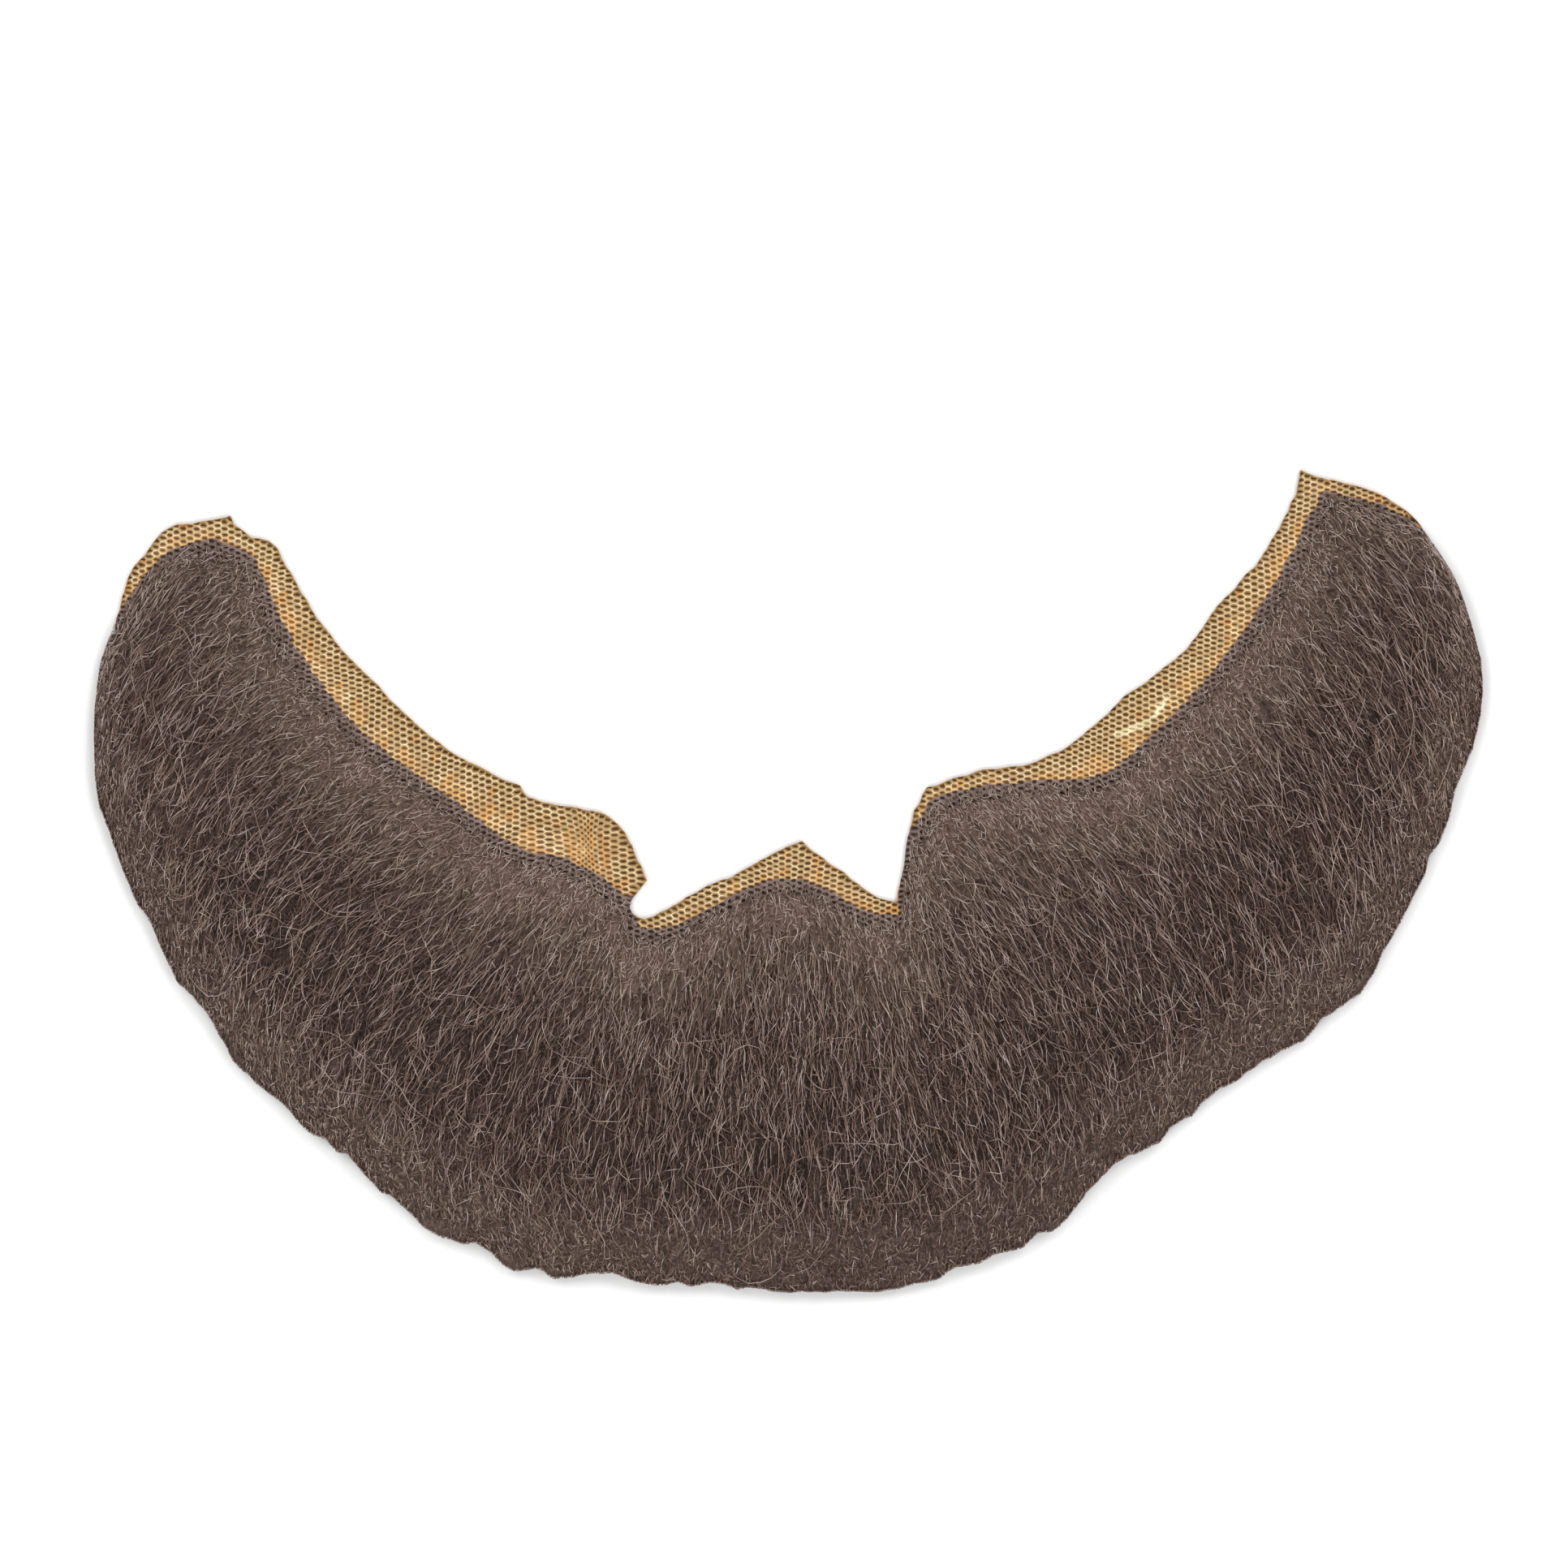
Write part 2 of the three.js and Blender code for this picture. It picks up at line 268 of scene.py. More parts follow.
# The hem along the hairline is stained, and the pucker in streaks.
STREAKED = np.array([5, 7.5])  # mm, reach of the streaks round the pucker
STREAK_STEP = 2.4  # mm
hem = np.exp(-((bare_share / 0.55) ** 4)) * np.clip(0.75 + 0.5 * wander(*plan.T, 7, 13), 0, 1)
notch_hem = hem * np.exp(-((np.linalg.norm(plan[:, None] - NOTCHES, axis=-1).min(axis=1) / 9) ** 2))
stain = np.clip(wander(*plan.T, 4, 9) - 0.6 + 0.45 * hem + 0.8 * notch_hem, 0, 1)
bare_band = TAN_BAND + 0.03 * wander(*plan.T, 9, 10) + thread_dice.uniform(-0.02, 0.02, len(plan))
drawn = np.exp(-(((plan - PUCKER) / STREAKED) ** 2).sum(axis=1))
streak = drawn * np.sin(2 * np.pi * (plan[:, 0] + 0.6 * wander(*plan.T, 5, 14)) / STREAK_STEP)
bare_band = bare_band - 0.24 * glue + 0.2 * stain + 0.14 * hem + 0.09 * drawn + 0.18 * streak
bare_band = np.clip(bare_band, 0.02, STAINED_BAND)
grey_band = GREY_BAND + thread_dice.uniform(-0.12, 0.12, len(plan))
hairy = np.clip(0.5 + past_hair_line + narrow + 0.15 * wander(*plan.T, 3, 7), 0, 1)
net_band = bare_band + (grey_band - bare_band) * hairy

# Painted light and shade: each crest is painted light as a highlight, each slit dark as shade, and the
# threads along the cut edge darker as shade; a hole is lighter where glue, stain or the pucker fills it.
slit_painted_shade = np.repeat(thread_dice.uniform(0.03, 0.26, len(mesh_centre)), 6)
crest_painted_highlight = thread_dice.uniform(0.84, 0.98, len(crest))
crest_painted_highlight[rim] -= thread_dice.uniform(0.15, 0.5, len(rim))
net_tone = np.concatenate([crest_painted_highlight, np.full(len(sole), 0.6), slit_painted_shade])
filled = 0.55 * glue + 0.46 * (hem - notch_hem) * (1 - hairy) + 0.4 * drawn
net_tone = np.clip(net_tone + filled * (net_tone < 0.5) - 0.09 * drawn, 0.02, 0.98)


def lay_mesh(name, points, faces, across, up, finish):
    """A piece from its points in mm and its faces as arrays of point numbers. across and up, from 0 to 1 for
    each point, are its place in the colour chart of its finish."""
    mesh = bpy.data.meshes.new(name)
    corners = np.concatenate([part.ravel() for part in faces])
    sizes = np.concatenate([np.full(len(part), part.shape[1]) for part in faces])
    mesh.vertices.add(len(points))
    mesh.vertices.foreach_set("co", (points * 0.001).ravel())
    mesh.loops.add(len(corners))
    mesh.loops.foreach_set("vertex_index", corners)
    mesh.polygons.add(len(sizes))
    mesh.polygons.foreach_set("loop_start", np.cumsum(sizes) - sizes)
    mesh.polygons.foreach_set("use_smooth", np.ones(len(sizes), bool))
    chart = mesh.uv_layers.new(name="OFBake")
    chart.uv.foreach_set("vector", np.stack([across, up], axis=-1)[corners].ravel())
    mesh.update(calc_edges=True)
    mesh.materials.append(finish)
    piece = bpy.data.objects.new(name, mesh)
    bpy.context.collection.objects.link(piece)
    return piece


def paint(red, green, blue):
    """Linear colour of a screen colour from 0 to 255: the screen's power curve undone."""
    screen = np.array([red, green, blue]) / 255
    linear = np.where(screen <= 0.04045, screen / 12.92, ((screen + 0.055) / 1.055) ** 2.4)
    return (*linear, 1)


def shade(light):
    """Neutral colour of a share of white: a step of a blend, or a depth of shadow to multiply by."""
    return (light, light, light, 1)


def new_finish(name, roughness, shine):
    """An empty finish: its node tree, its shader with an even roughness and shine, and the two directions of
    its colour chart."""
    finish = bpy.data.materials.new(name)
    finish.use_nodes = True
    tree = finish.node_tree
    shader = tree.nodes["Principled BSDF"]
    shader.inputs["Roughness"].default_value = roughness
    shader.inputs["Specular IOR Level"].default_value = shine
    chart = tree.nodes.new("ShaderNodeUVMap")
    chart.uv_map = "OFBake"
    split = tree.nodes.new("ShaderNodeSeparateXYZ")
    tree.links.new(chart.outputs["UV"], split.inputs["Vector"])
    return finish, tree, shader, split


def colour_scale(tree, place, stops):
    """Colours along one direction of a chart, each stop a place from 0 to 1 and its colour."""
    scale = tree.nodes.new("ShaderNodeValToRGB")
    for where, colour in stops[1:-1]:
        scale.color_ramp.elements.new(where).color = colour
    for end, (where, colour) in zip((0, -1), (stops[0], stops[-1])):
        scale.color_ramp.elements[end].position = where
        scale.color_ramp.elements[end].color = colour
    tree.links.new(place, scale.inputs["Fac"])
    return scale.outputs["Color"]


def blended(tree, first, second, share, way="MIX"):
    """Two colours blended by a share, or multiplied where way says so."""
    mix = tree.nodes.new("ShaderNodeMix")
    mix.data_type = "RGBA"
    mix.blend_type = way
    for name, value in (("A_Color", first), ("B_Color", second), ("Factor_Float", share)):
        socket = next(s for s in mix.inputs if s.identifier == name)
        if isinstance(value, bpy.types.NodeSocket):
            tree.links.new(value, socket)
        else:
            socket.default_value = value
    return next(s for s in mix.outputs if s.identifier == "Result_Color")


lace, lace_tree, lace_shader, lace_chart = new_finish("tan_lace", roughness=0.7, shine=0.25)
# Across each scale the colours run from the painted shade in the slits to the painted highlight on the
# crests.
glued = colour_scale(lace_tree, lace_chart.outputs["X"], [
    (0.0, paint(112, 88, 50)), (0.5, paint(190, 172, 122)), (1.0, paint(226, 214, 168))])
tan = colour_scale(lace_tree, lace_chart.outputs["X"], [
    (0.0, paint(104, 74, 38)), (0.26, paint(120, 89, 48)), (0.47, paint(158, 127, 83)),
    (0.8, paint(180, 149, 105)), (0.93, paint(242, 228, 192)), (1.0, paint(252, 242, 216))])
stained = colour_scale(lace_tree, lace_chart.outputs["X"], [
    (0.0, paint(112, 68, 32)), (0.5, paint(164, 116, 64)),
    (0.8, paint(194, 150, 94)), (1.0, paint(238, 206, 150))])
grey = colour_scale(lace_tree, lace_chart.outputs["X"], [
    (0.0, paint(76, 63, 57)), (0.4, paint(98, 82, 75)),
    (0.72, paint(126, 107, 100)), (1.0, paint(152, 132, 125))])
is_tan = colour_scale(lace_tree, lace_chart.outputs["Y"], [(0.08, shade(0)), (0.2, shade(1))])
is_stained = colour_scale(lace_tree, lace_chart.outputs["Y"], [(0.3, shade(0)), (0.44, shade(1))])
is_grey = colour_scale(lace_tree, lace_chart.outputs["Y"], [(0.48, shade(0)), (0.56, shade(1))])
lace_colour = blended(lace_tree, glued, tan, is_tan)
lace_colour = blended(lace_tree, lace_colour, stained, is_stained)
lace_colour = blended(lace_tree, lace_colour, grey, is_grey)
lace_tree.links.new(lace_colour, lace_shader.inputs["Base Color"])

net = lay_mesh("lace_net_meshes", net_points, [slopes, under, walls], net_tone, net_band, lace)
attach(net, "root")
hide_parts("lace_net")


# Undercoat: the short dense hair under the long hair, crimped, so that it holds the coat up, and knotted
# mesh by mesh to the net. It is a closed cushion from a little past the hairline to the trimmed edge.

COAT_FOOT = 1.3  # mm, top of the net's seat
PILE = 0.145  # height of the coat as a share of the hair's length
LOCK_WIDTH = 9.5  # mm along the outer edge
# Share of the hair's length, and the coat's height there as a share of the pile.
RISE = np.array([[0, 0.02], [0.12, 0.42], [0.32, 0.82], [0.58, 1], [0.82, 0.74], [0.96, 0.34], [1, 0.1]])
RISE_BLUR = 29  # of the 401 steps of the rise, over which it is rounded
rise_share = np.linspace(0, 1, 401)
rise_line = np.pad(np.interp(rise_share, *RISE.T), RISE_BLUR // 2, mode="edge")
rise_line = np.convolve(rise_line, np.ones(RISE_BLUR) / RISE_BLUR, mode="valid")

tip_line = smooth_through(HAIR_TIP, fine_place, BEARD_END)
tip_arc = np.concatenate([[0], np.cumsum(np.linalg.norm(np.diff(tip_line, axis=0), axis=1))])
ARC_END = tip_arc[-1]  # mm, along the outer edge from the left end to the right end


def place_at(arc):
    """Place in the plan's sections of a distance along the outer edge, read off between its fine steps."""
    return np.interp(arc, tip_arc, fine_place)


# The scissors left lobes and snips along the outer edge: mm along it, and mm past the plan's tips.
TRIM = np.array([
    [0, -0.1], [32, 0], [35, 0.6], [39, 0], [43, -0.2], [50, 0.3], [58, 0.6], [61, -0.3], [64, -0.9],
    [68, -0.1], [77, 0.6], [79, -0.3], [85, -1.4], [88, -1.5], [92, -0.3], [95, 0.3], [97, 1.3], [102, 0.6],
    [106, 0.4], [108, -0.1], [112, -0.7], [115, -0.8], [118, 0], [122, -0.6], [125, -1.8], [128, -1.1],
    [131, -2.1], [136, -0.7], [140, 0.3], [143, -0.3], [149, 0.6], [151, 1.4], [154, 1.7], [158, 0.7],
    [161, 0.4], [164, -1.2], [168, -0.5], [171, 1.4], [173, 1.8], [178, -0.4], [180, -0.3], [182, 0.9],
    [185, 0.5], [189, -1], [195, -2], [199, -1], [204, -0.1], [209, -1.1], [212, -0.2], [216, -0.9],
    [219, -0.8], [222, 0.1], [226, -0.6], [230, -0.1], [235, -0.5], [245, -0.5], [252, 0.4], [255, 0.4],
    [261, 0], [266, 0.3], [268, -1.1], [270, -1.5], [275, -0.7], [278, -1.4], [282, -0.7], [285, 0.3],
    [289, -1], [292, 0.3], [295, 0.8], [299, -0.4], [304, -1.8], [312, -2.2], [317, -0.5], [321, 0.5],
    [323, 1.2], [326, 0.1], [330, 0.3], [332, 1], [335, -0.1], [340, -0.2], [344, 0.5], [350, -0.2],
    [356, -0.1], [361, 0.8], [364, -0.1], [366, -1], [371, -0.2], [374, 0.1], [377, 1.2], [383, 0.8],
    [386, -0.1], [402, 0.1], [406, 0.2], [409, -1], [413, 0], [420, 0], [424, -1.2], [429, -0.4], [435, 0.4],
    [448, 0.1], [455, 0.3], [461, -0.5], [467, -0.7], [471, -0.4], [477, 0.7], [485, 0],
])


def coat_limit(arc):
    """Share of the hair's length at which the trimmed edge lies: 1 plus what the scissors left past the
    plan's tip over the length, less of it on hair shorter than 30 mm, wavering by a tenth of a mm."""
    length = hair_length(place_at(arc))
    past = np.interp(arc, *TRIM.T) - 0.1 + 0.1 * wander(arc, 0 * arc, 3, 23)
    return 1 + past * np.clip(length / 30, 0.1, 1) / length


def coat_top(arc, share):
    """Height of the coat in mm: the foot plus the pile, which is a share of the hair's length, times the
    rise along the hair, with low cosine ridges where the hair parts into locks, and a slow wander."""
    place = place_at(arc)
    pile = PILE * hair_length(place) * np.interp(share, rise_share, rise_line)
    lock = 0.025 * np.cos(2 * np.pi * (arc / LOCK_WIDTH + 0.5 * wander(arc, 40 * share, 30, 24)))
    return COAT_FOOT + pile * (0.95 + lock + 0.02 * wander(arc, 60 * share, 25, 25))


def coat(arc, share, height):
    """Point of the coat in mm from its distance along the outer edge, its share of the hair's length and its
    height."""
    return np.concatenate([hair_plan(place_at(arc), share), height[..., None]], axis=-1)


BED_COLUMNS = 460
BED_ROWS = 26
BED_INSET = 0.4  # mm, from both ends of the outer edge
BED_FOOT = 0.5  # mm, underside of the cushion past the net
bed_arc = np.linspace(BED_INSET, ARC_END - BED_INSET, BED_COLUMNS)[:, None]
bed_step = np.linspace(0, 1, BED_ROWS)[None]
bed_length = hair_length(place_at(bed_arc))
bed_start = np.minimum((3.2 + 3.5 * np.clip(1.4 - bed_length / 45, 0, 1)) / bed_length, 0.5)
bed_stop = coat_limit(bed_arc) - 0.35 / bed_length
bed_share = bed_start + (bed_stop - bed_start) * bed_step
bed_arc = np.broadcast_to(bed_arc, bed_share.shape)
over_net = np.clip((NET_SHARE + 0.05 - bed_share) / 0.05, 0, 1)
bed_floor = BED_FOOT + (NET_TOP + 0.02 - BED_FOOT) * over_net
bed_ceiling = coat_top(bed_arc, bed_share)
bed_ceiling = bed_ceiling - np.minimum(1.2, 0.3 * bed_ceiling)
crimps = 0.25 * wander(bed_arc, 60 * bed_share, 6, 26)
bed_ceiling = bed_ceiling + crimps * np.clip(bed_ceiling - 1.6, 0, 1)
bed_ceiling = np.maximum(bed_ceiling, bed_floor + 0.12)
bed_points = np.concatenate([coat(bed_arc, bed_share, bed_ceiling), coat(bed_arc, bed_share, bed_floor)])
bed_points = bed_points.reshape(-1, 3)


def sheet_faces(sheet):
    """Quads of a sheet of point numbers: each point, the next in its row and the two in the row after."""
    corners = [sheet[:-1, :-1], sheet[:-1, 1:], sheet[1:, 1:], sheet[1:, :-1]]
    return np.stack(corners, axis=-1).reshape(-1, 4)


bed_number = np.arange(2 * BED_COLUMNS * BED_ROWS).reshape(2, BED_COLUMNS, BED_ROWS)
upper, lower = bed_number
bed_faces = [sheet_faces(upper)[:, ::-1], sheet_faces(lower)]
bed_rim = np.concatenate([upper[:, 0], upper[-1, 1:], upper[-2::-1, -1], upper[0, -2:0:-1]])
bed_foot = bed_rim + BED_COLUMNS * BED_ROWS
bed_faces.append(np.stack([bed_rim, np.roll(bed_rim, -1), np.roll(bed_foot, -1), bed_foot], axis=-1))

# Its colour chart: across from ear to ear, and up from the hairline over the trimmed edge to the underside.
bed_across = np.broadcast_to(np.linspace(0.01, 0.99, BED_COLUMNS)[None, :, None], bed_number.shape).ravel()
bed_over = np.broadcast_to(0.03 + 0.45 * bed_step, bed_share.shape)
bed_up = np.stack([bed_over, 1 - bed_over]).ravel()

fur, fur_tree, fur_shader, fur_chart = new_finish("underfur_with_painted_shade", roughness=0.75, shine=0.15)
fur_streaks = fur_tree.nodes.new("ShaderNodeMapping")
fur_streaks.inputs["Scale"].default_value = (950, 190, 1)
fur_tree.links.new(fur_tree.nodes["UV Map"].outputs["UV"], fur_streaks.inputs["Vector"])
fur_noise = fur_tree.nodes.new("ShaderNodeTexNoise")
fur_noise.inputs["Scale"].default_value = 1
fur_noise.inputs["Detail"].default_value = 5
fur_noise.inputs["Roughness"].default_value = 0.7
fur_tree.links.new(fur_streaks.outputs["Vector"], fur_noise.inputs["Vector"])
fur_colour = colour_scale(fur_tree, fur_noise.outputs["Fac"], [
    (0.3, paint(76, 60, 53)), (0.5, paint(120, 99, 90)), (0.72, paint(172, 151, 141))])
# Painted shade on the undercoat, multiplied in: none at the hairline, deepest half way out under the long
# hair, less towards the trimmed edge, deep on the underside, and an even 0.6 at both sideburn ends.
fur_painted_shade = colour_scale(fur_tree, fur_chart.outputs["Y"], [
    (0.03, shade(1)), (0.08, shade(0.85)), (0.18, shade(0.34)), (0.34, shade(0.31)),
    (0.42, shade(0.65)), (0.5, shade(0.6)), (0.54, shade(0.35))])
on_sideburn = colour_scale(fur_tree, fur_chart.outputs["X"], [
    (0.06, shade(1)), (0.2, shade(0)), (0.8, shade(0)), (0.94, shade(1))])
fur_painted_shade = blended(fur_tree, fur_painted_shade, shade(0.6), on_sideburn)
fur_colour = blended(fur_tree, fur_colour, fur_painted_shade, 1, "MULTIPLY")
fur_tree.links.new(fur_colour, fur_shader.inputs["Base Color"])
fur_bump = fur_tree.nodes.new("ShaderNodeBump")
fur_bump.inputs["Strength"].default_value = 0.6
fur_bump.inputs["Distance"].default_value = 0.0004
fur_tree.links.new(fur_noise.outputs["Fac"], fur_bump.inputs["Height"])
fur_tree.links.new(fur_bump.outputs["Normal"], fur_shader.inputs["Normal"])

undercoat = lay_mesh("hair_undercoat", bed_points, bed_faces, bed_across, bed_up, fur)
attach(undercoat, "root")
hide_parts("hair_coat")


# Felt: matted short ends of crimped taupe-brown hair, knotted to the net as all of it is. They cover the
# coat along the hairline and the trimmed edge, thinner right at the hairline, so that the net's meshes show
# there.

STRAND_RADIUS = 0.16  # mm, of a common hair
CHIN_ARC = 0.535 * ARC_END  # mm, along the outer edge to the middle of the chin
CHIN_REACH = 85  # mm
LOWEST_HAIR = 0.25  # mm, above the table, past the net
hair_dice = np.random.default_rng(12)


def spread(arc, share):
    """Width in plan, in mm, of one mm of the outer edge, at a share of the hair's length."""
    step = hair_plan(place_at(arc + 0.5), share) - hair_plan(place_at(arc - 0.5), share)
    return np.maximum(np.linalg.norm(step, axis=-1), 0.12)


def under_chin(arc):
    """How near the hair lies to the middle of the chin, from 0 to 1: a bell curve along the outer edge."""
    return np.exp(-(((arc - CHIN_ARC) / CHIN_REACH) ** 2))


def felted(arc, share):
    """How felted the coat is, from 0 to 1: wholly so in the first 2 mm past the hairline and, on long hair,
    the last 8 mm before the tips, or 14 mm under the chin, and not at all 10 mm further in."""
    length = hair_length(place_at(arc))
    reach = np.clip(length / 60, 0.4, 1)
    from_tip = (1 - share) * length / reach - 6 * under_chin(arc)
    return np.clip(np.maximum((12 - share * length) / 10, (18 - from_tip) / 10), 0, 1)


# The hairs take root in cells, so many along the outer edge and so many along the hair.
CELL_COLUMNS = 320
CELL_ROWS = 48
CELL_ARC = (ARC_END - 2) / CELL_COLUMNS  # mm
CELL_SHARE = 0.985 / CELL_ROWS  # of the hair's length
column_arc = 1 + CELL_ARC * np.arange(0.5, CELL_COLUMNS)
row_share = CELL_SHARE * np.arange(0.5, CELL_ROWS)
cell_arc, cell_share = np.meshgrid(column_arc, row_share, indexing="ij")
cell_length = hair_length(place_at(cell_arc))
cell_felt = felted(cell_arc, cell_share)


def scatter(count, crowd):
    """Roots spread evenly over the coat: each cell in turn is given its due, its area in plan times how much
    hair crowds there, at random places within it."""
    due = np.cumsum(spread(cell_arc, cell_share) * cell_length * crowd)
    cell = np.searchsorted(due, due[-1] * (np.arange(count) + hair_dice.random(count)) / count)
    arc = cell_arc.ravel()[cell] + CELL_ARC * hair_dice.uniform(-0.5, 0.5, count)
    share = cell_share.ravel()[cell] + CELL_SHARE * hair_dice.uniform(-0.5, 0.5, count)
    return arc, share


def coat_shade(arc, share):
    """Painted light and shade of the coat, about -1 to 1: lighter for some 19 mm where it is combed flat
    along the hairline, most of all beside the mouth, painted shade in the deep belt half way along the hair,
    which lies further out under the chin and ends short of the sideburns, lighter on the short hair of their
    tops, and a slow wander."""
    place = place_at(arc)
    length = hair_length(place)
    belt = np.exp(-(((share - 0.54 - 0.2 * under_chin(arc)) / 0.25) ** 2))
    belt = belt * np.clip(length / 25 - 1.1, 0, 1)
    combed = np.exp(-((share * length / (19 + 6 * np.clip(2 - length / 40, 0, 1))) ** 2))
    beside = np.exp(-(((np.abs(hair_plan(place, share)[..., 0]) - 48) / 24) ** 2))
    sideburn = 0.3 * np.clip(1.3 - length / 35, 0, 1)
    return (1.25 + 0.45 * beside) * combed - 0.9 * belt + sideburn + 0.12 * wander(arc, 24 * share, 9, 41)


# The hair is combed off the plan's own lines: mm across the face, and degrees to the right.
COMBED = np.array([
    [-150, -4], [-100, -12], [-75, -17], [-50, -7], [-25, -3], [0, 0],
    [15, 4], [35, 16], [60, 14], [90, 8], [130, 4],
])


def comb_turn(arc, share):
    """How far the hair is combed aside, in radians: by where it lies across the face, and less and less past
    two thirds of its length."""
    aside = hair_plan(place_at(arc), share)[..., 0]
    return np.radians(np.interp(aside, *COMBED.T)) * np.clip((0.95 - share) / 0.3, 0, 1)


def strand_paths(arc, share, run, turn, curl, crimp, wave, layer, sink, spare, rings):
    """Middle lines of hairs, as points of the coat. A hair's heading is the comb's turn and its own, plus
    its curl growing evenly from minus to plus half, plus a sine wave of the crimp; its steps along that
    heading are added up. A hair that would come nearer to the trimmed edge than its spare is moved back. The
    depth under the coat's top goes from layer plus sink at the root to layer at the tip, and a second sine
    wave takes the hair over and under its neighbours."""
    t = np.linspace(0, 1, rings)[None]
    arc, share, run, turn, curl, crimp, wave, layer, sink, spare = (
        column[:, None] for column in (arc, share, run, turn, curl, crimp, wave, layer, sink, spare)
    )
    length = hair_length(place_at(arc))
    phase = hair_dice.uniform(0, 2 * np.pi, arc.shape)
    swing = 2 * np.pi * run * t / wave + phase
    heading = comb_turn(arc, share) + turn + curl * (t - 0.5) + crimp * np.sin(swing)
    step = np.where(t > 0, run / (rings - 1), 0)
    aside = np.cumsum(step * np.sin(heading), axis=1)
    ahead = np.cumsum(step * np.cos(heading), axis=1)
    way = np.clip(arc + aside / spread(arc, share), 0.5, ARC_END - 0.5)
    along = share + ahead / length
    past = along - coat_limit(way) + spare / length
    along = np.maximum(along - np.maximum(past.max(axis=1, keepdims=True), 0), 0)
    depth = layer + sink * (1 - t) ** 1.3 + 0.35 * crimp * np.sin(1.25 * swing + 1.7 * phase)
    over = np.clip((NET_SHARE + 0.06 - along) / 0.06, 0, 1)
    lowest = LOWEST_HAIR + (NET_TOP + 0.1 - LOWEST_HAIR) * over
    return coat(way, along, np.maximum(coat_top(way, along) - depth, lowest))


def strand_tubes(path, radius, tone, hue):
    """Closed three-sided tubes along middle lines: at each ring three points round the line, one of them on
    top, thinner towards both ends; quads from ring to ring and a triangle at each end. In the colour chart
    a hair reaches its own tone at one place, a painted highlight where it catches the light, and is painted
    darker as shade by 0.06 for each mm from there, though by no more than on a hair 12 mm long, all at the
    height of its hue."""
    count, rings = path.shape[:2]
    t = np.linspace(0, 1, rings)
    thick = radius[:, None] * np.interp(t, [0, 0.15, 0.7, 1], [0.7, 1, 0.9, 0.35])
    ahead = np.gradient(path, axis=1)
    ahead /= np.maximum(np.linalg.norm(ahead, axis=-1, keepdims=True), 1e-9)
    side = np.stack([ahead[..., 1], -ahead[..., 0], np.zeros((count, rings))], axis=-1)
    side /= np.maximum(np.linalg.norm(side, axis=-1, keepdims=True), 1e-9)
    top = np.cross(side, ahead)
    angle = np.radians([90, 210, 330])[:, None]
    points = path[:, :, None] + thick[..., None, None] * (
        np.cos(angle) * side[:, :, None] + np.sin(angle) * top[:, :, None]
    )
    number = np.arange(count * rings * 3).reshape(count, rings, 3)
    turned = np.roll(number, -1, axis=2)
    quads = np.stack([number[:, :-1], turned[:, :-1], turned[:, 1:], number[:, 1:]], axis=-1)
    ends = np.concatenate([number[:, 0, ::-1], number[:, -1]])
    # Painted highlight: where along each hair it is painted lightest; away from it, painted shade.
    glint = hair_dice.uniform(0.3, 0.9, (count, 1))
    run = np.linalg.norm(np.diff(path, axis=1), axis=-1).sum(axis=1, keepdims=True)
    fade = tone[:, None] - 0.06 * np.minimum(run, 12) * np.abs(t - glint)
    across = np.clip(fade, 0.02, 0.98)[..., None] + np.zeros(3)
    up = (0.05 + 0.9 * hue)[:, None, None] + np.array([0.006, -0.006, 0]) + np.zeros((1, rings, 1))
    return points.reshape(-1, 3), [quads.reshape(-1, 4), ends], across.ravel(), up.ravel()


hair, hair_tree, hair_shader, hair_chart = new_finish("taupe_hair", roughness=0.45, shine=0.45)
# The top of the scale, near white, is the painted highlight of the hairs' glints.
hair_colour = colour_scale(hair_tree, hair_chart.outputs["X"], [
    (0.0, paint(32, 21, 16)), (0.25, paint(66, 48, 40)), (0.5, paint(108, 84, 73)),
    (0.75, paint(153, 131, 119)), (0.9, paint(186, 168, 158)), (1.0, paint(238, 228, 221))])
hair_tint = colour_scale(hair_tree, hair_chart.outputs["Y"], [
    (0.0, (1, 0.93, 0.84, 1)), (0.5, (1, 0.98, 0.97, 1)), (1.0, (0.98, 0.93, 1, 1))])
hair_colour = blended(hair_tree, hair_colour, hair_tint, 1, "MULTIPLY")
hair_tree.links.new(hair_colour, hair_shader.inputs["Base Color"])


def knot_in(name, arc, path, radius, tone):
    """Puts hairs in as two pieces, left and right of the middle of the outer edge, each hair in a random
    hue, and fixes them to the net."""
    hue = hair_dice.random(len(path))
    for side, here in (("left", arc < ARC_END / 2), ("right", arc >= ARC_END / 2)):
        tubes = strand_tubes(path[here], radius[here], tone[here], hue[here])
        piece = lay_mesh(f"{name}_{side}", *tubes, hair)
        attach(piece, "root")
        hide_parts("hair_coat")


FELT_HAIRS = 38500
thin_reach = 2.3 + 3.8 * np.clip(1.4 - cell_length / 45, 0, 1)
thin = np.clip(cell_share * cell_length / thin_reach, 0.25, 1)
arc, share = scatter(FELT_HAIRS, (0.33 + cell_felt) * thin)
run = hair_dice.uniform(0.7, 1.8, FELT_HAIRS)
turn = hair_dice.normal(0, np.radians(50), FELT_HAIRS)
straight = np.zeros(FELT_HAIRS)
wave = np.ones(FELT_HAIRS)
layer = 0.5 * hair_dice.random(FELT_HAIRS)
sink = hair_dice.uniform(0.1, 0.3, FELT_HAIRS)
spare = hair_dice.uniform(0, 0.3, FELT_HAIRS)
path = strand_paths(arc, share, run, turn, straight, straight, wave, layer, sink, spare, rings=2)
radius = STRAND_RADIUS * hair_dice.uniform(0.8, 1.4, FELT_HAIRS)
matted = (share > 0.6) * felted(arc, share) * (1 - 0.6 * under_chin(arc))
